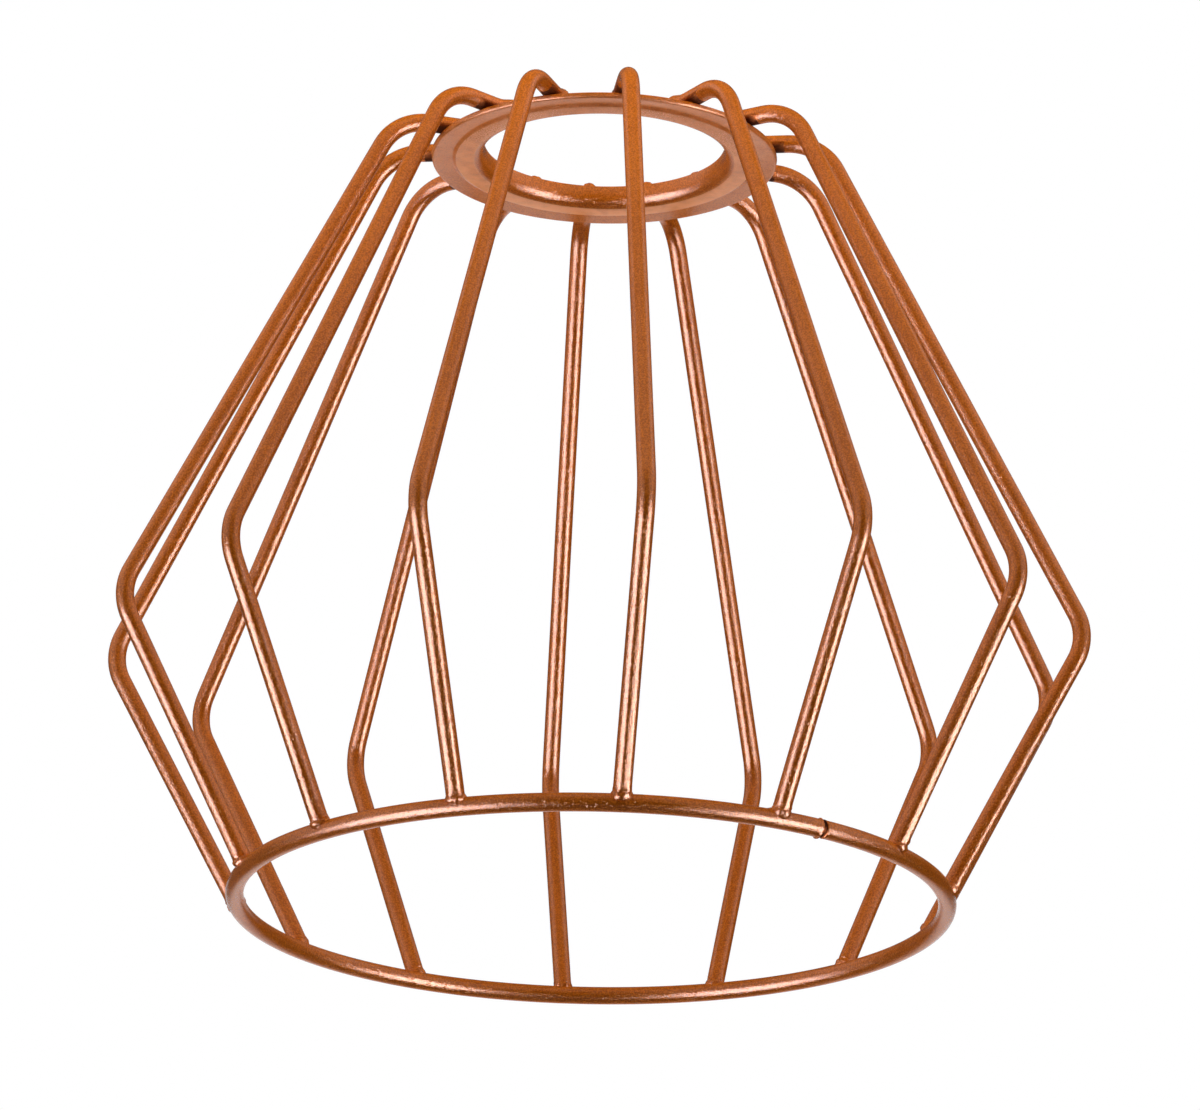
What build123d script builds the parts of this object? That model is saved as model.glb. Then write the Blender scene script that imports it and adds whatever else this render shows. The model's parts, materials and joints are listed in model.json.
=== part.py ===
from build123d import *
from math import cos, radians, sin, sqrt
import os

os.makedirs("parts", exist_ok=True)

# Stock, in millimetres
wire_diameter = 3.0  # round steel wire of the ribs and the base ring
sheet = 1.0  # steel sheet of the top plate

# Top plate: a pressed washer with a collar drawn up round the lampholder hole
bore_diameter = 42.0  # clear hole inside the collar
collar_height = 3.8  # collar edge above the underside of the land
lip_radius = 1.6  # rounded mouth of the hole, on the lower side
land_width = 4.9  # flat land round the hole, hole edge to step
step_width = 0.6  # sloping step from the land up to the crest
crest_rise = 0.45  # crest that carries the ribs, above the land
rim_width = 3.5  # outer rim, which slopes from the crest back down to the land's level
rim_round = 0.4  # rolled lower edge of the rim

# Cage, measured on the wire's centreline
ring_diameter = 120.0  # base ring
belly_diameter = 168.0  # widest part, at the sharp corner of the ribs
belly_height = 45.2  # corner of the belly above the base ring
plate_height = 134.0  # underside of the plate's land above the base ring
shoulder_overhang = 7.9  # sharp corner of the shoulder beyond the plate's edge
shoulder_bend = 9.5  # bend radius at the shoulder
belly_bend = 9.0  # bend radius at the belly
rib_count = 14
rib_lean = 0.8  # degrees that each rib leans sideways about its run on the plate

# Welds
end_gap = 0.3  # rib ends stop this far short of the collar
crest_set = 0.35  # depth to which the ribs are sunk on the crest where they are welded to it
foot_set = 0.4  # depth to which a rib's square foot is sunk into the ring
bead_proud = 0.35  # weld bead round a foot, beyond the surface of the rib
bead_height = 1.4  # bead along the rib, from its square end
seam_azimuth = -58.0  # place of the butt weld in the base ring, degrees from +X
seam_width = 0.5
seam_depth = 0.3

# Values that follow from these
wire_radius = wire_diameter / 2
bore_radius = bore_diameter / 2
ring_radius = ring_diameter / 2
belly_radius = belly_diameter / 2
land_radius = bore_radius + land_width
crest_radius = land_radius + step_width
plate_radius = crest_radius + rim_width
shoulder_radius = plate_radius + shoulder_overhang
ring_level = wire_radius  # the ring stands on the plane at zero
belly_level = ring_level + belly_height
land_level = ring_level + plate_height
crest_level = land_level + crest_rise
run_level = crest_level + sheet + wire_radius - crest_set
rib_pitch = 360 / rib_count

# Upright plane of the front rib, leaning about the rib's run on the plate
rib_outwards = Vector(0, -1, 0)
rib_up = Vector(0, 0, 1).rotate(Axis.Y, rib_lean)
rib_plane = Plane(
    origin=(0, 0, run_level), x_dir=rib_outwards, z_dir=rib_outwards.cross(rib_up)
)


def in_rib_plane(radius, level):
    # Point of the leaning plane at this distance from the shade's axis and this height
    drop = (run_level - level) / cos(radians(rib_lean))
    sway = drop * sin(radians(rib_lean))
    return rib_plane.from_local_coords((sqrt(radius**2 - sway**2), -drop))


# Top plate: the underside of the sheet drawn from the collar's edge out over the crest, then thickened
with BuildPart() as top_plate:
    with BuildSketch(Plane.XZ) as plate_section:
        with BuildLine():
            FilletPolyline(
                (bore_radius, land_level + collar_height),
                (bore_radius, land_level),
                (land_radius, land_level),
                (crest_radius, crest_level),
                (plate_radius, land_level),
                radius=[lip_radius, 0, 0],
            )
            offset(amount=sheet, side=Side.LEFT)
        make_face()
        rim_edge = plate_section.vertices().sort_by_distance((plate_radius, land_level, 0))[0]
        fillet(rim_edge, radius=rim_round)
    revolve(axis=Axis.Z)

top_plate.part.label = "top_plate"
export_step(top_plate.part, "parts/top_plate.step")

# Base ring: a wire hoop with a shallow groove all round the wire at its butt weld
seam_outwards = Vector(1, 0, 0).rotate(Axis.Z, seam_azimuth)
seam_along = Vector(0, 1, 0).rotate(Axis.Z, seam_azimuth)
seam_centre = seam_outwards * ring_radius + Vector(0, 0, ring_level)

with BuildPart() as base_ring:
    with BuildSketch(Plane.XZ):
        with Locations((ring_radius, ring_level)):
            Circle(wire_radius)
    revolve(axis=Axis.Z)
    with BuildSketch(Plane(origin=seam_centre, x_dir=seam_outwards, z_dir=seam_along)):
        Circle(wire_radius + seam_depth)
        Circle(wire_radius - seam_depth, mode=Mode.SUBTRACT)
    extrude(amount=seam_width / 2, both=True, mode=Mode.SUBTRACT)

base_ring.part.label = "base_ring"
export_step(base_ring.part, "parts/base_ring.step")

# Front rib: one wire along its leaning plane, sunk on the crest at one end and into the ring at the other
run_start = in_rib_plane(bore_radius + sheet + end_gap, run_level)
shoulder_point = in_rib_plane(shoulder_radius, run_level)
belly_point = in_rib_plane(belly_radius, belly_level)
ring_point = in_rib_plane(ring_radius, ring_level)
foot_direction = (ring_point - belly_point).normalized()
foot_end = ring_point - foot_direction * (wire_radius - foot_set)

with BuildPart() as front_rib:
    with BuildLine(rib_plane) as rib_line:
        FilletPolyline(
            run_start,
            shoulder_point,
            belly_point,
            foot_end,
            radius=[shoulder_bend, belly_bend],
        )
    with BuildSketch(Plane(origin=rib_line.line @ 0, z_dir=rib_line.line % 0)):
        Circle(wire_radius)
    sweep()
    with Locations(Plane(origin=foot_end, z_dir=-foot_direction)):
        Cone(
            bottom_radius=wire_radius + bead_proud,
            top_radius=wire_radius,
            height=bead_height,
            align=(Align.CENTER, Align.CENTER, Align.MIN),
        )
    add(top_plate.part, mode=Mode.SUBTRACT)
    add(base_ring.part, mode=Mode.SUBTRACT)

# The ribs go round the axis from the front, counter-clockwise from above
for number in range(rib_count):
    with BuildPart() as rib:
        add(front_rib.part, rotation=(0, 0, number * rib_pitch))
    rib.part.label = f"rib_{number + 1:02d}"
    export_step(rib.part, f"parts/{rib.part.label}.step")
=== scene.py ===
import bmesh
import bpy
import json
from math import atan2, cos, pi, radians, sin, tan
from mathutils import Matrix, Vector


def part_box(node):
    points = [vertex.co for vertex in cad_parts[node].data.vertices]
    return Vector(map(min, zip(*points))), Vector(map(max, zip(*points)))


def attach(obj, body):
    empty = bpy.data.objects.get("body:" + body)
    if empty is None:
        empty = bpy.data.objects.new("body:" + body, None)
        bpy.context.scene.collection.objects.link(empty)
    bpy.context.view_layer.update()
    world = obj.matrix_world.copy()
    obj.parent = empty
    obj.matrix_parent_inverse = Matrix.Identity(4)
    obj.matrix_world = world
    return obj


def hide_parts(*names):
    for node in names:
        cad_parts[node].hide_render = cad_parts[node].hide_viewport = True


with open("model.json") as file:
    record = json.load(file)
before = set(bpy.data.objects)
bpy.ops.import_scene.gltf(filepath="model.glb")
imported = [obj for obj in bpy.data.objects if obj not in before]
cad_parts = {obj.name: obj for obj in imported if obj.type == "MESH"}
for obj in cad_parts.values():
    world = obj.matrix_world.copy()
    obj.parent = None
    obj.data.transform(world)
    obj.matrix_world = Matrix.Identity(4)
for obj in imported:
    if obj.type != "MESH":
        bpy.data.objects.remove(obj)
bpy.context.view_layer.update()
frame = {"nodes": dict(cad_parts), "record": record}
print("frame loaded:", len(frame["nodes"]), "nodes")

mm = 0.001
ringLow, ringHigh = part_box("base_ring")
plateLow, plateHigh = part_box("top_plate")
ribNames = sorted(name for name in frame["nodes"] if name.startswith("rib_"))
boreMount = next(m for m in frame["record"]["mounts"] if m["name"] == "lampholder_bore")
wireRadius = (ringHigh.z - ringLow.z) / 2
ringRadius = ringHigh.x - wireRadius
ringLevel = ringLow.z + wireRadius
coatThickness = 0.045 * mm  # paint on the wire
paintedRadius = wireRadius + coatThickness
mergeDistance = 0.002 * mm


# editing helpers

def clamp(value):
    return min(1, max(0, value))


def selectOnly(piece):
    bpy.ops.object.select_all(action="DESELECT")
    bpy.context.view_layer.objects.active = piece
    piece.select_set(True)


def applyPlace():  # place, turn and size go into the mesh
    bpy.ops.object.transform_apply(location=True, rotation=True, scale=True)


def addCircle(name, vertices, radius, location, rotation):  # ends in edit mode with all of it selected
    bpy.ops.object.select_all(action="DESELECT")
    bpy.ops.mesh.primitive_circle_add(vertices=vertices, radius=radius, location=location, rotation=rotation)
    piece = bpy.context.object
    piece.name = name
    piece.data.name = name
    applyPlace()
    bpy.ops.object.mode_set(mode="EDIT")
    bpy.ops.mesh.select_mode(type="VERT")
    bpy.ops.mesh.select_all(action="SELECT")
    return piece


def pickEdges(piece, test):  # edit mode: only the edges with both ends passing the test
    bpy.ops.mesh.select_mode(type="EDGE")
    mesh = bmesh.from_edit_mesh(piece.data)
    for edge in mesh.edges:
        edge.select = all(test(vertex.co) for vertex in edge.verts)
    mesh.select_flush_mode()
    bmesh.update_edit_mesh(piece.data)


def pickOpenEdges():
    bpy.ops.mesh.select_all(action="DESELECT")
    bpy.ops.mesh.select_non_manifold()


def extrude(step):
    bpy.ops.mesh.extrude_region_move(TRANSFORM_OT_translate={"value": step})


def resize(factor, centre, flat=False):
    bpy.ops.transform.resize(value=(factor, factor, 1 if flat else factor), center_override=centre)


def turn(angle, axis, centre):  # right-handed; headless rotate runs the other way
    bpy.ops.transform.rotate(value=-angle, orient_axis=axis, center_override=centre)


def spin(angle, axis, centre, steps):  # right-handed; headless spin runs the other way
    bpy.ops.mesh.spin(steps=steps, angle=-angle, center=centre, axis=axis)


def tidyFaces():  # merge doubles, point every face outwards and leave edit mode
    bpy.ops.mesh.select_mode(type="VERT")
    bpy.ops.mesh.select_all(action="SELECT")
    bpy.ops.mesh.remove_doubles(threshold=mergeDistance)
    bpy.ops.mesh.normals_make_consistent(inside=False)
    bpy.ops.object.mode_set(mode="OBJECT")


def applyModifier(piece, kind, settings):
    modifier = piece.modifiers.new(kind.title(), kind)
    for name, value in settings.items():
        setattr(modifier, name, value)
    selectOnly(piece)
    bpy.ops.object.modifier_apply(modifier=modifier.name)


def smoothFaces(piece, angle):
    selectOnly(piece)
    bpy.ops.object.shade_smooth_by_angle(angle=radians(angle))


def weightGroup(piece, name, weightAt):  # vertex group with a weight worked out from each place
    group = piece.vertex_groups.new(name=name)
    for vertex in piece.data.vertices:
        weight = clamp(weightAt(vertex.co))
        if weight > 0:
            group.add([vertex.index], weight, "REPLACE")


def paintValue(piece, name, valueAt):  # float attribute that the paint reads
    values = piece.data.attributes.new(name, "FLOAT", "POINT")
    for vertex in piece.data.vertices:
        values.data[vertex.index].value = clamp(valueAt(vertex.co))


def nowhere(place):
    return 0


lumpSet = {
    "size": 0.85 * mm,
    "depth": 1,
}
weldLumps = bpy.data.textures.new("weldLumps", "CLOUDS")
weldLumps.noise_scale = lumpSet["size"]
weldLumps.noise_depth = lumpSet["depth"]


# base ring: one wire hoop, its two ends butt-welded

ringSet = {
    "sides": 32,
    "steps": 292,
    "seamAzimuth": -58,  # degrees from +X
    "seam": [  # along the wire from the seam, and share of the radius there
        (-10.9 * mm, 1.00), (-10.4 * mm, 1.00), (-9.9 * mm, 1.00), (-9.4 * mm, 1.00), (-8.9 * mm, 1.00),
        (-8.4 * mm, 1.00), (-7.9 * mm, 1.00), (-6.4 * mm, 1.00), (-4.9 * mm, 1.00), (-3.4 * mm, 1.00),
        (-2.0 * mm, 1.00), (-1.4 * mm, 1.00), (-1.0 * mm, 1.00), (-0.8 * mm, 1.00), (-0.62 * mm, 1.00),
        (-0.46 * mm, 1.00), (-0.39 * mm, 0.97), (-0.36 * mm, 0.88), (-0.33 * mm, 0.78), (-0.02 * mm, 0.75),
        (0.20 * mm, 0.79), (0.33 * mm, 0.88), (0.42 * mm, 0.98), (0.55 * mm, 1.02), (0.8 * mm, 1.01),
        (1.3 * mm, 1.00),
    ],
    "groove": (-0.38 * mm, 0.35 * mm),  # painted shade in the seam's groove between these
    "grooveTop": 0.85,  # share of the radius up to which the groove gets painted shade
    "raised": [  # humps on top of the wire: along it, reach, height
        (-0.02 * mm, 0.50 * mm, 0.55 * mm),
        (-9.4 * mm, 1.3 * mm, 0.35 * mm),
    ],
    "burr": (-0.72 * mm, 0.40 * mm, 0.30 * mm),  # the same below the wire
    "burrPower": 3,  # makes it pointed
    "humpSlope": 2.4,  # how fast humps and burr rise from the sides of the wire
    "humpStart": 1.1,
    "lumpStrength": 0.15 * mm,
    "lumpReach": 1.0 * mm,
    "lumpFade": 1.6,
    "lumpMiddle": 0.45,
    "smoothAngle": 40,
}


def makeRing():
    s = ringSet
    seam = radians(s["seamAzimuth"])
    startAngle = s["seam"][-1][0] / ringRadius
    start = seam + startAngle
    centre = Vector((ringRadius * cos(start), ringRadius * sin(start), ringLevel))
    ring = addCircle("base_ring_hoop", s["sides"], paintedRadius, centre, (pi / 2, 0, start))
    axis = (0, 0, 1)
    toSeam = 2 * pi + s["seam"][0][0] / ringRadius - startAngle
    spin(toSeam, axis, (0, 0, 0), s["steps"])  # round to the other end of the wire
    for (here, share), (ahead, nextShare) in zip(s["seam"], s["seam"][1:]):
        spin((ahead - here) / ringRadius, axis, (0, 0, 0), 1)
        angle = seam + ahead / ringRadius
        resize(nextShare / share, (ringRadius * cos(angle), ringRadius * sin(angle), ringLevel))
    tidyFaces()
    seamPoint = Vector((ringRadius * cos(seam), ringRadius * sin(seam), ringLevel))

    def fromSeam(place):  # along the wire
        outwards = place.x * cos(seam) + place.y * sin(seam)
        sideways = place.y * cos(seam) - place.x * sin(seam)
        return ringRadius * atan2(sideways, outwards)

    def hump(place, along, reach, side):  # 1 at its middle, on the top or underside of the wire
        lengthwise = max(0, 1 - ((fromSeam(place) - along) / reach) ** 2)
        over = max(0, side * (place.z - ringLevel) / wireRadius)
        return lengthwise * clamp(s["humpSlope"] * over - s["humpStart"])

    def nearSeam(place):
        return s["lumpFade"] * (1 - (place - seamPoint).length / (s["lumpReach"] + wireRadius))

    # painted shade on the lower part of the seam's groove
    def shadeInGroove(place):
        first, last = s["groove"]
        return first < fromSeam(place) < last and place.z < ringLevel + s["grooveTop"] * wireRadius

    paintValue(ring, "weld", nearSeam)
    # painted shade in the seam's groove
    paintValue(ring, "paintedShade", shadeInGroove)
    paintValue(ring, "dustAndLight", nowhere)
    weightGroup(ring, "lumps", nearSeam)
    applyModifier(ring, "DISPLACE", {
        "texture": weldLumps, "texture_coords": "LOCAL", "vertex_group": "lumps",
        "strength": s["lumpStrength"], "mid_level": s["lumpMiddle"]})
    for number, (along, reach, height) in enumerate(s["raised"]):
        weightGroup(ring, f"raised{number}", lambda place: hump(place, along, reach, 1))
        applyModifier(ring, "DISPLACE", {
            "direction": "Z", "vertex_group": f"raised{number}", "strength": height, "mid_level": 0})
    along, reach, height = s["burr"]
    weightGroup(ring, "burr", lambda place: hump(place, along, reach, -1) ** s["burrPower"])
    applyModifier(ring, "DISPLACE", {
        "direction": "Z", "vertex_group": "burr", "strength": -height, "mid_level": 0})
    smoothFaces(ring, s["smoothAngle"])
    return ring


# top plate: pressed washer with a drawn collar

plateSet = {
    "sides": 180,
    "boreRadius": boreMount["dims"]["r_mm"] * mm,
    "collarTop": plateHigh.z,
    "landLevel": plateLow.z,
    "sheet": 1.0 * mm,
    "lipRadius": 2.1 * mm,
    "lipSteps": 10,
    "landWidth": 4.9 * mm,
    "stepWidth": 0.6 * mm,
    "crestRise": 0.45 * mm,
    "crestSteps": 6,
    "rimWidth": 3.5 * mm,
    "rimRound": 0.4 * mm,  # rolled lower edge
    "rimSegments": 5,
    "edgeRound": 0.18 * mm,  # the other edges
    "stepRound": 0.2 * mm,
    "segments": 3,
    "radiusSlack": 0.03 * mm,  # for finding an edge again
    "heightSlack": 0.01 * mm,
    "dustAndLightTop": 0.6,  # share of the sheet up to which the underside counts
    "dustAndLightLip": 0.8,  # share of the lip left without it
    "landDustAndLight": (0.95, -0.45),  # at the back, and change to the front; the pale is painted light, lighter at the back
    "rimDustAndLight": (0.2, 0.25),
    "smoothAngle": 35,
}
plateLandEdge = plateSet["boreRadius"] + plateSet["landWidth"]
plateCrest = plateLandEdge + plateSet["stepWidth"]
plateEdge = plateCrest + plateSet["rimWidth"]
plateRimSlope = atan2(plateSet["crestRise"], plateSet["rimWidth"])
plateTopEdge = Vector((plateEdge + plateSet["sheet"] * sin(plateRimSlope),
                       plateSet["landLevel"] + plateSet["sheet"] * cos(plateRimSlope)))


def plateSection():  # radius and height all round the sheet, from the collar's inner edge down, out and back
    s = plateSet
    bore, sheet, lip, land = s["boreRadius"], s["sheet"], s["lipRadius"], s["landLevel"]
    crestLevel = land + s["crestRise"]
    stepSlope = atan2(s["crestRise"], s["stepWidth"])
    lipCentre = Vector((bore + lip, land + lip))
    turns = [pi + pi / 2 * i / s["lipSteps"] for i in range(s["lipSteps"] + 1)]
    under = [lipCentre + lip * Vector((cos(a), sin(a))) for a in turns]
    above = [lipCentre + (lip - sheet) * Vector((cos(a), sin(a))) for a in reversed(turns)]
    swing = plateRimSlope + stepSlope
    tilts = [plateRimSlope - swing * i / s["crestSteps"] for i in range(s["crestSteps"] + 1)]
    overCrest = [Vector((plateCrest + sheet * sin(a), crestLevel + sheet * cos(a))) for a in tilts]
    outline = [Vector((bore, s["collarTop"]))] + under
    outline += [Vector((plateLandEdge, land)), Vector((plateCrest, crestLevel)), Vector((plateEdge, land))]
    outline += [plateTopEdge] + overCrest
    outline += [Vector((plateLandEdge - sheet * tan(stepSlope / 2), land + sheet))] + above
    outline += [Vector((bore + sheet, s["collarTop"]))]
    return outline


def makePlate():
    s = plateSet
    outline = plateSection()
    plate = addCircle("top_plate_pressing", s["sides"], outline[0].x, (0, 0, outline[0].y), (0, 0, 0))
    for here, ahead in zip(outline, outline[1:]):
        extrude((0, 0, ahead.y - here.y))
        if ahead.x != here.x:
            resize(ahead.x / here.x, (0, 0, ahead.y), flat=True)
    pickOpenEdges()
    bpy.ops.mesh.bridge_edge_loops()  # flat edge of the collar

    def onCircle(radius, height):
        def test(place):
            aside = abs(place.xy.length - radius)
            return aside < s["radiusSlack"] and abs(place.z - height) < s["heightSlack"]
        return test

    land = s["landLevel"]
    rounds = [
        (plateEdge, land, s["rimRound"], s["rimSegments"]),
        (plateTopEdge.x, plateTopEdge.y, s["edgeRound"], s["segments"]),
        (s["boreRadius"], s["collarTop"], s["edgeRound"], s["segments"]),
        (s["boreRadius"] + s["sheet"], s["collarTop"], s["edgeRound"], s["segments"]),
        (plateLandEdge, land, s["stepRound"], s["segments"]),
        (plateCrest, land + s["crestRise"], s["stepRound"], s["segments"]),
    ]
    for radius, height, width, segments in rounds:
        pickEdges(plate, onCircle(radius, height))
        bpy.ops.mesh.bevel(offset=width, segments=segments, affect="EDGES")
    tidyFaces()

    def dustAndLightAt(place):  # thin pale spray and painted light on the underside, most on the land and at the back
        radius = place.xy.length
        if place.z > land + s["dustAndLightTop"] * s["sheet"]:
            return 0
        if radius < s["boreRadius"] + s["dustAndLightLip"] * s["lipRadius"]:
            return 0
        atBack, change = s["landDustAndLight"] if radius < plateLandEdge else s["rimDustAndLight"]
        return atBack + change * clamp(0.5 - place.y / plateEdge)

    paintValue(plate, "weld", nowhere)
    paintValue(plate, "paintedShade", nowhere)
    # pale spray with painted light under the plate
    paintValue(plate, "dustAndLight", dustAndLightAt)
    smoothFaces(plate, s["smoothAngle"])
    return plate


# ribs: one bent wire, modelled at the front and copied round

ribSet = {
    "sides": 32,
    "runStart": plateSet["boreRadius"] + plateSet["sheet"] + 0.3 * mm,  # a gap from the collar
    "runLevel": plateSet["landLevel"] + plateSet["crestRise"] + plateSet["sheet"]
                + wireRadius - 0.35 * mm,  # sunk on the crest
    "shoulder": plateEdge + 7.9 * mm,  # distance of the sharp corner from the axis
    "shoulderBend": 9.5 * mm,
    "belly": 84.0 * mm,
    "bellyLevel": ringLevel + 45.2 * mm,
    "bellyBend": 9.0 * mm,
    "bendSteps": 14,
    "lean": 0.8,  # degrees, about the run on the plate
    "runEnd": [  # along the run, share of the radius, lift where the end rides up on the collar's foot
        (0, 0.72, 0.78 * mm), (0.12 * mm, 0.90, 0.78 * mm), (0.30 * mm, 0.98, 0.78 * mm),
        (0.80 * mm, 1.00, 0.73 * mm), (1.7 * mm, 1.00, 0.48 * mm), (2.7 * mm, 1.00, 0.18 * mm),
        (3.6 * mm, 1.00, 0.03 * mm), (4.4 * mm, 1.00, 0),
        (8.2 * mm, 1.00, 0), (9.1 * mm, 1.00, 0), (9.35 * mm, 1.00, 0), (9.9 * mm, 1.00, 0),
    ],
    "flash": [  # distance from the ring's centreline, back along the rib, and share of the radius
        (3.2 * mm, 1.00), (2.6 * mm, 1.00), (2.30 * mm, 1.00), (2.15 * mm, 1.015), (2.06 * mm, 1.02),
        (2.00 * mm, 0.985), (1.94 * mm, 1.03), (1.8 * mm, 1.07), (1.62 * mm, 1.12), (1.45 * mm, 1.15),
        (1.2 * mm, 1.14), (0.9 * mm, 1.05), (0.5 * mm, 0.90),
    ],
    "lumpStrength": 0.45 * mm,
    "lumpMiddle": 0.5,
    "footFade": 2.2,
    "endWeld": 1.5 * mm,  # length of the weld at the end of the run
    "endFade": 1.4,
    "plateShadowRadii": (31.4 * mm, 31.65 * mm),  # radii between which the plate's painted shadow on the wires' undersides fades out
    "plateShadowFade": 2,
    "smoothAngle": 50,
}


def outUp(out, up):  # point of the front rib's plane
    return Vector((0, -out, up))


def bendRib(corner, before, after, radius, here, steps):  # run up to a bend, then round it
    inward = (after - before).normalized()
    turned = before.angle(after)
    startPoint = corner - before * radius * tan(turned / 2)
    extrude(startPoint - here)
    toCentre = (inward - before * inward.dot(before)).normalized()
    centre = startPoint + toCentre * radius
    spin(turned, (1, 0, 0), centre, steps)
    return corner + after * radius * tan(turned / 2)


def makeFrontRib():
    s = ribSet
    start = outUp(s["runStart"], s["runLevel"])
    shoulder = outUp(s["shoulder"], s["runLevel"])
    belly = outUp(s["belly"], s["bellyLevel"])
    foot = outUp(ringRadius, ringLevel)
    along = (shoulder - start).normalized()
    down = (belly - shoulder).normalized()
    inwards = (foot - belly).normalized()
    up = Vector((0, 0, 1))
    share, lift = s["runEnd"][0][1:]
    here = start + up * lift
    rib = addCircle("rib_model", s["sides"], paintedRadius * share, here, (pi / 2, 0, 0))
    for distance, nextShare, lift in s["runEnd"][1:]:
        ahead = start + along * distance + up * lift
        extrude(ahead - here)
        resize(nextShare / share, ahead)
        here, share = ahead, nextShare
    here = bendRib(shoulder, along, down, s["shoulderBend"], here, s["bendSteps"])
    here = bendRib(belly, down, inwards, s["bellyBend"], here, s["bendSteps"])
    for distance, nextShare in s["flash"]:
        ahead = foot - inwards * distance
        extrude(ahead - here)
        resize(nextShare / share, ahead)
        here, share = ahead, nextShare
    pickOpenEdges()
    bpy.ops.mesh.fill_holes(sides=0)
    tidyFaces()
    bpy.ops.object.mode_set(mode="EDIT")
    bpy.ops.mesh.select_all(action="SELECT")
    turn(radians(s["lean"]), "Y", (0, 0, s["runLevel"]))
    bpy.ops.object.mode_set(mode="OBJECT")
    return rib


def makeRibs():
    s = ribSet
    model = makeFrontRib()
    flashHeight = s["flash"][0][0]

    def nearWeld(place):  # foot on the ring, and the end of the run by the collar
        foot = s["footFade"] * (ringLevel + flashHeight - place.z) / flashHeight
        end = s["endFade"] * (1 - (place.xy.length - s["runStart"]) / s["endWeld"])
        return max(foot, end)

    # painted shadow of the plate on the underside of each run, near the plate's edge
    def plateShadowAt(place):
        if place.z < s["bellyLevel"]:
            return 0
        near, far = s["plateShadowRadii"]
        outwards = (far - place.xy.length) / (far - near)
        below = s["plateShadowFade"] * (s["runLevel"] - place.z) / wireRadius
        return clamp(outwards) * clamp(below)

    ribs = []
    for number, name in enumerate(ribNames):
        selectOnly(model)
        bpy.ops.object.duplicate(linked=False)
        rib = bpy.context.object
        rib.name = name + "_wire"
        rib.data.name = rib.name
        rib.rotation_euler.z = 2 * pi * number / len(ribNames)
        applyPlace()
        weightGroup(rib, "lumps", nearWeld)
        applyModifier(rib, "DISPLACE", {
            "texture": weldLumps, "texture_coords": "LOCAL", "vertex_group": "lumps",
            "strength": s["lumpStrength"], "mid_level": s["lumpMiddle"]})
        paintValue(rib, "weld", nearWeld)
        # painted shadow of the plate on each wire's underside
        paintValue(rib, "paintedShade", plateShadowAt)
        paintValue(rib, "dustAndLight", nowhere)
        smoothFaces(rib, s["smoothAngle"])
        ribs.append(rib)
    bpy.data.objects.remove(model)
    return ribs


ring = makeRing()
print("ring modelled:", len(ring.data.polygons), "faces")
plate = makePlate()
print("plate modelled:", len(plate.data.polygons), "faces")
ribs = makeRibs()
print("ribs modelled:", len(ribs), "of", len(ribs[0].data.polygons), "faces")


# copper paint

class Value:  # a shader socket that plain expressions can use
    def __init__(self, tree, socket=None):
        self.tree = tree
        self.socket = socket

    def node(self, kind, settings=None, inputs=None, output=0):
        made = self.tree.nodes.new(kind)
        for name, value in (settings or {}).items():
            setattr(made, name, value)
        for name, value in (inputs or {}).items():
            if isinstance(value, Value):
                self.tree.links.new(value.socket, made.inputs[name])
            else:
                made.inputs[name].default_value = value
        return Value(self.tree, made.outputs[output]) if made.outputs else made

    def maths(self, operation, first, second):
        return self.node("ShaderNodeMath", {"operation": operation}, {0: first, 1: second})

    def __add__(self, other):
        return self.maths("ADD", self, other)

    def __radd__(self, other):
        return self.maths("ADD", other, self)

    def __sub__(self, other):
        return self.maths("SUBTRACT", self, other)

    def __mul__(self, other):
        return self.maths("MULTIPLY", self, other)


def newTree(owner):
    owner.use_nodes = True
    owner.node_tree.nodes.clear()
    return Value(owner.node_tree)


def noise(tree, place, size, inputs):
    return tree.node("ShaderNodeTexNoise", {"noise_dimensions": "3D"},
                     {"Vector": place, "Scale": 1 / size, **inputs})


def blend(tree, factor, first, second):
    return tree.node("ShaderNodeMix", {"data_type": "RGBA", "clamp_factor": True},
                     {"Factor": factor, "A": first, "B": second}, output="Result")


def meshValue(tree, name):  # what paintValue put on the mesh
    return tree.node("ShaderNodeAttribute", {"attribute_name": name}, output="Fac")


paintSet = {
    "deep": (0.42, 0.093, 0.004, 1),
    "warm": (0.67, 0.166, 0.010, 1),
    "dark": (0.05, 0.011, 0.002, 1),  # painted shade, in the lower part of the seam's groove and under the wires by the plate's edge
    "pale": (0.90, 0.31, 0.08, 1),  # pale spray under the plate, with painted light on its underside
    "metallic": 0.01,
    "roughness": 0.10,
    "ior": 1.45,
    "flakeRoughness": 0.30,  # copper flakes in the lacquer shine more widely than its gloss
    "flakeShare": 0.06,
    "peelSize": 0.32 * mm,  # orange peel
    "peelDepth": 0.065 * mm,
    "flakeSize": 0.28 * mm,
    "blotchSize": 14 * mm,
    "mottleSize": 2.2 * mm,
    "blotchToWarm": 0.8,
    "flakeToWarm": 3.5,
    "warmStart": 1.65,
    "mottleSpread": 2.0,
    "mottleStart": 0.1,
    "flakeToRough": 0.1,
    "blotchToRough": 0.06,
    "weldToRough": 0.04,
    "paintedShadeToRough": 0.4,
    "dustAndLightToRough": 0.3,
    "flakeToMetal": 0.02,
    "paintedShadeToMetal": 0.9,
    "nibStart": 0.59,  # only the highest flakes stand up
    "nibHeight": 2.6,
}


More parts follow.
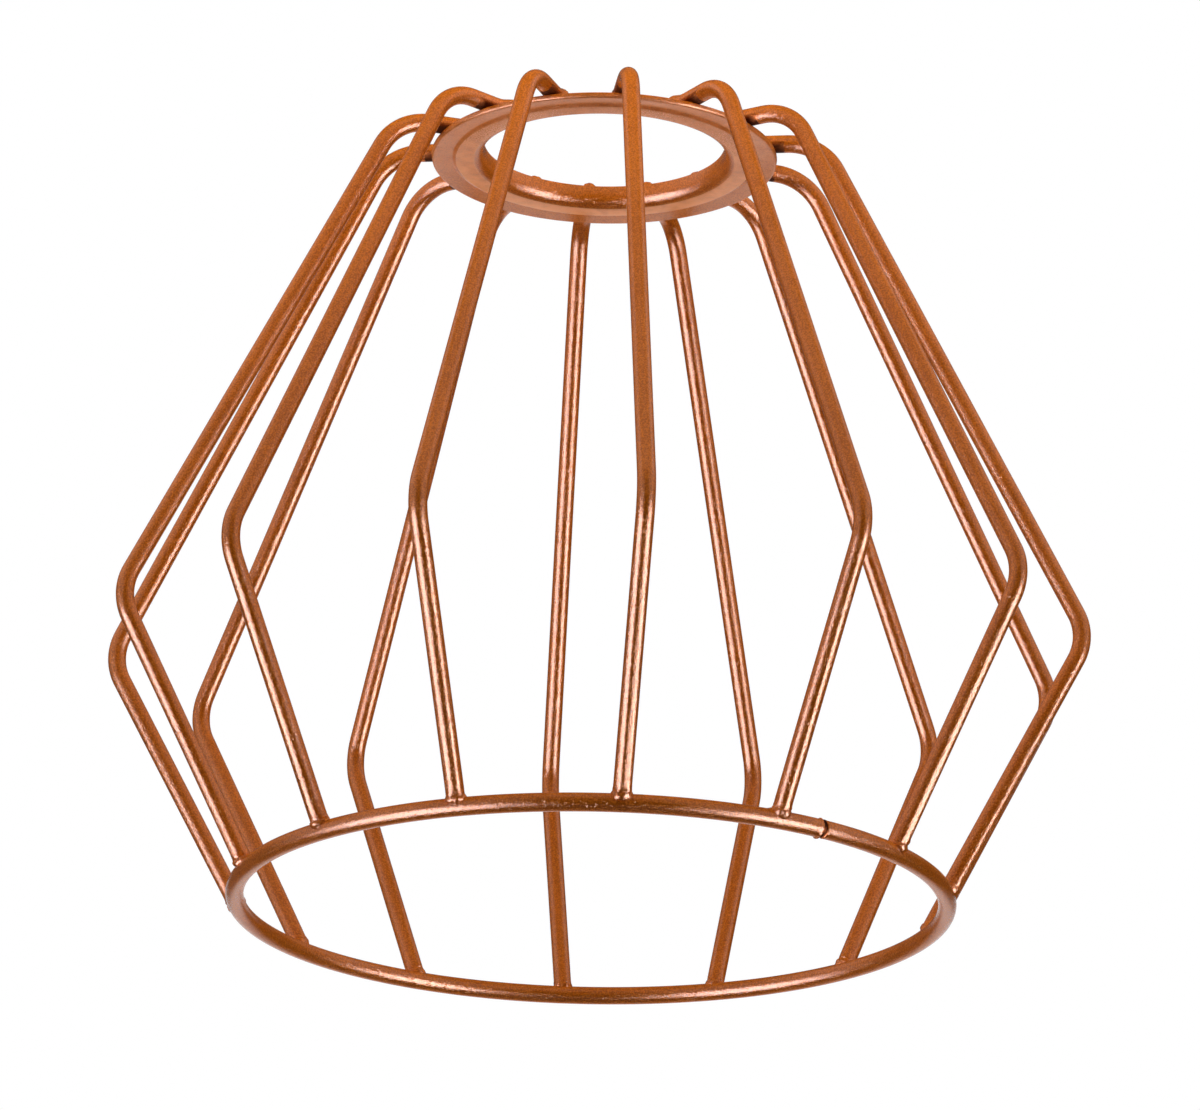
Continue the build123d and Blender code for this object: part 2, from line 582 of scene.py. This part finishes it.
def makePaint():
    s = paintSet
    material = bpy.data.materials.new("copper_paint")
    tree = newTree(material)
    place = tree.node("ShaderNodeTexCoord", output="Object")
    peel = noise(tree, place, s["peelSize"], {"Detail": 2, "Roughness": 0.55})
    flake = noise(tree, place, s["flakeSize"], {"Detail": 1})
    blotch = noise(tree, place, s["blotchSize"], {"Detail": 3})
    mottle = noise(tree, place, s["mottleSize"], {"Detail": 4, "Roughness": 0.6})
    weld = meshValue(tree, "weld")
    paintedShade = meshValue(tree, "paintedShade")
    dustAndLight = meshValue(tree, "dustAndLight")
    colour = blend(tree, blotch * s["blotchToWarm"] + flake * s["flakeToWarm"] - s["warmStart"],
                   s["deep"], s["warm"])
    # pale spray and painted light under the plate, mottled
    colour = blend(tree, dustAndLight * (mottle * s["mottleSpread"] - s["mottleStart"]), colour, s["pale"])
    # painted shade: the seam's groove and the plate's shadow on the wires
    colour = blend(tree, paintedShade, colour, s["dark"])
    rough = s["roughness"] + (flake - 0.5) * s["flakeToRough"] + (blotch - 0.5) * s["blotchToRough"]
    rough = rough + weld * s["weldToRough"] + paintedShade * s["paintedShadeToRough"] + dustAndLight * s["dustAndLightToRough"]
    metal = s["metallic"] + (flake - 0.5) * s["flakeToMetal"] + paintedShade * s["paintedShadeToMetal"]
    nibs = tree.maths("MAXIMUM", flake - s["nibStart"], 0)
    normal = tree.node("ShaderNodeBump", {}, {
        "Strength": 1.0, "Distance": s["peelDepth"], "Height": peel + nibs * s["nibHeight"]})
    lacquer = tree.node("ShaderNodeBsdfPrincipled", {}, {
        "Base Color": colour, "Metallic": metal, "Roughness": rough, "IOR": s["ior"], "Normal": normal})
    flakes = tree.node("ShaderNodeBsdfPrincipled", {}, {
        "Base Color": colour, "Metallic": 1.0, "Roughness": s["flakeRoughness"], "Normal": normal})
    layers = tree.node("ShaderNodeMixShader", {}, {0: s["flakeShare"], 1: lacquer, 2: flakes})
    tree.node("ShaderNodeOutputMaterial", {}, {"Surface": layers})
    return material


copperPaint = makePaint()


def dress(piece, node):
    piece.data.materials.clear()
    piece.data.materials.append(copperPaint)
    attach(piece, "root")
    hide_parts(node)


dress(ring, "base_ring")
dress(plate, "top_plate")
for rib, name in zip(ribs, ribNames):
    dress(rib, name)
print("paint on", 2 + len(ribs), "pieces")


# camera, as in the photo: below the shade, looking up

cameraSet = {
    "azimuth": -96.2,  # of the camera about the shade's axis, degrees from +X
    "distance": 1.17886,  # from the axis
    "height": -0.32994,
    "pitch": 18.451,
    "yaw": 0.024,
    "roll": 1.026,
    "focal": 7261.2,  # in pixels of the 1200 wide picture
    "pictureWidth": 1200,
    "clipStart": 0.05,
    "clipEnd": 100,
}


def makeCamera():
    s = cameraSet
    data = bpy.data.cameras.new("camera")
    camera = bpy.data.objects.new("camera", data)
    bpy.context.scene.collection.objects.link(camera)
    data.lens = s["focal"] / s["pictureWidth"] * data.sensor_width
    data.clip_start = s["clipStart"]
    data.clip_end = s["clipEnd"]
    around = radians(s["azimuth"])
    heading = around + pi / 2 - radians(s["yaw"])
    look = Matrix.Rotation(heading, 4, "Z") @ Matrix.Rotation(pi / 2 + radians(s["pitch"]), 4, "X")
    look = look @ Matrix.Rotation(radians(s["roll"]), 4, "Z")
    spot = Vector((s["distance"] * cos(around), s["distance"] * sin(around), s["height"]))
    camera.matrix_world = Matrix.Translation(spot) @ look
    bpy.context.scene.camera = camera


makeCamera()
print("camera set")


# studio: pale floor far below, lamps, and softboxes and cards that only reflections see

studioSet = {
    "floorLevel": -2.2,
    "floorSize": 60,
    "floorShade": 0.9,
    "middle": Vector((0, 0, 0.07)),
    "ambient": 0.09,
    "lamps": {  # light only: azimuth from the camera's side, elevation, distance, width, height, level
        "keyLamp": (0, 62, 0.15, 0.08, 0.06, 0.23),
        "frontLamp": (0, 52, 1.4, 0.8, 0.8, 0.33),
        "nearLampLeft": (-75, 30, 0.15, 0.08, 0.06, 0.06),
        "nearLampRight": (75, 30, 0.15, 0.08, 0.06, 0.06),
        "sideLampLeft": (-90, 24, 1.4, 0.8, 0.8, 0.41),
        "sideLampRight": (90, 24, 1.4, 0.8, 0.8, 0.42),
        "underLamp": (180, -42, 1.2, 0.8, 0.8, 0.78),
        "fillLamp": (-10, 15, 1.4, 0.8, 0.8, 0.08),
    },
    "softboxes": {  # seen in the gloss only: the same with radiance for level, and tint
        "softboxLeft": (-61.5, -32, 1.2, 1.12, 1.16, 19.5, (1, 0.98, 1)),
        "softboxRight": (64, -28.5, 1.2, 0.70, 1.12, 24.5, (1, 0.97, 0.92)),
    },
    "cards": {  # the same with shade for level
        "cardTop": (0, 88, 0.9, 1.3, 3.4, 0.10),
        "cardNear": (0, 55, 0.32, 0.60, 0.16, 0.62),
        "cardFront": (5, -12, 1.5, 1.9, 2.2, 0.01),
        "cardBelow": (180, -78, 1.7, 5.0, 4.1, 0.12),
        "cardLeft": (-135, -8, 1.3, 1.4, 1.9, 0.08),
        "cardRight": (130, -8, 1.3, 1.5, 1.9, 0.02),
        "cardBack": (180, 34, 1.5, 2.6, 1.1, 0.10),
    },
}


def facing(azimuth, elevation, distance):  # matrix of something that looks at the shade from there
    around = radians(cameraSet["azimuth"] + azimuth)
    up = radians(elevation)
    away = Vector((cos(around) * cos(up), sin(around) * cos(up), sin(up)))
    look = away.to_track_quat("Z", "Y").to_matrix().to_4x4()
    return Matrix.Translation(studioSet["middle"] + away * distance) @ look


def makeLamp(name, shape, width, height, energy, where):
    data = bpy.data.lights.new(name, "AREA")
    data.shape = shape
    data.size = width
    data.size_y = height
    data.energy = energy
    lamp = bpy.data.objects.new(name, data)
    bpy.context.scene.collection.objects.link(lamp)
    lamp.matrix_world = facing(*where)
    lamp.visible_camera = False
    return lamp


def makeCard(name, azimuth, elevation, distance, width, height, shade):
    bpy.ops.object.select_all(action="DESELECT")
    bpy.ops.mesh.primitive_plane_add(size=1)
    card = bpy.context.object
    card.name = name
    card.matrix_world = facing(azimuth, elevation, distance) @ Matrix.Diagonal((width, height, 1, 1))
    card.visible_camera = False
    card.visible_diffuse = False
    card.visible_shadow = False
    material = bpy.data.materials.new(name)
    tree = newTree(material)
    even = tree.node("ShaderNodeEmission", {}, {"Color": (shade, shade, shade, 1), "Strength": 1.0})
    tree.node("ShaderNodeOutputMaterial", {}, {"Surface": even})
    card.data.materials.append(material)


def backgroundShown(tree):  # 1 for what the camera, gloss and glass see
    camera = tree.node("ShaderNodeLightPath", output="Is Camera Ray")
    glossy = tree.node("ShaderNodeLightPath", output="Is Glossy Ray")
    through = tree.node("ShaderNodeLightPath", output="Is Transmission Ray")
    return camera + glossy + through


def makeFloor():
    s = studioSet
    bpy.ops.object.select_all(action="DESELECT")
    bpy.ops.mesh.primitive_plane_add(size=s["floorSize"], location=(0, 0, s["floorLevel"]))
    floor = bpy.context.object
    floor.name = "floor"
    applyPlace()
    material = bpy.data.materials.new("floor")
    tree = newTree(material)
    shade = s["floorShade"]
    matt = tree.node("ShaderNodeBsdfDiffuse", {}, {"Color": (shade, shade, shade, 1)})
    white = tree.node("ShaderNodeEmission", {}, {"Color": (1, 1, 1, 1), "Strength": 1.0})
    pale = tree.node("ShaderNodeMixShader", {}, {0: backgroundShown(tree), 1: matt, 2: white})
    tree.node("ShaderNodeOutputMaterial", {}, {"Surface": pale})
    floor.data.materials.append(material)


def makeStudio():
    s = studioSet
    scene = bpy.context.scene
    scene.view_settings.view_transform = "Standard"
    makeFloor()
    world = bpy.data.worlds.new("studio")
    scene.world = world
    tree = newTree(world)
    strength = s["ambient"] + backgroundShown(tree) * (1 - s["ambient"])
    light = tree.node("ShaderNodeBackground", {}, {"Color": (1, 1, 1, 1), "Strength": strength})
    tree.node("ShaderNodeOutputWorld", {}, {"Surface": light})
    for name, (azimuth, elevation, distance, width, height, level) in s["lamps"].items():
        energy = level * (pi * distance) ** 2
        lamp = makeLamp(name, "RECTANGLE", width, height, energy, (azimuth, elevation, distance))
        lamp.visible_glossy = False
    for name, (azimuth, elevation, distance, width, height, radiance, tint) in s["softboxes"].items():
        energy = radiance * pi * (pi / 4 * width * height)
        lamp = makeLamp(name, "ELLIPSE", width, height, energy, (azimuth, elevation, distance))
        lamp.data.color = tint
        lamp.visible_diffuse = False
    for name, where in s["cards"].items():
        makeCard(name, *where)


makeStudio()
print("studio set")
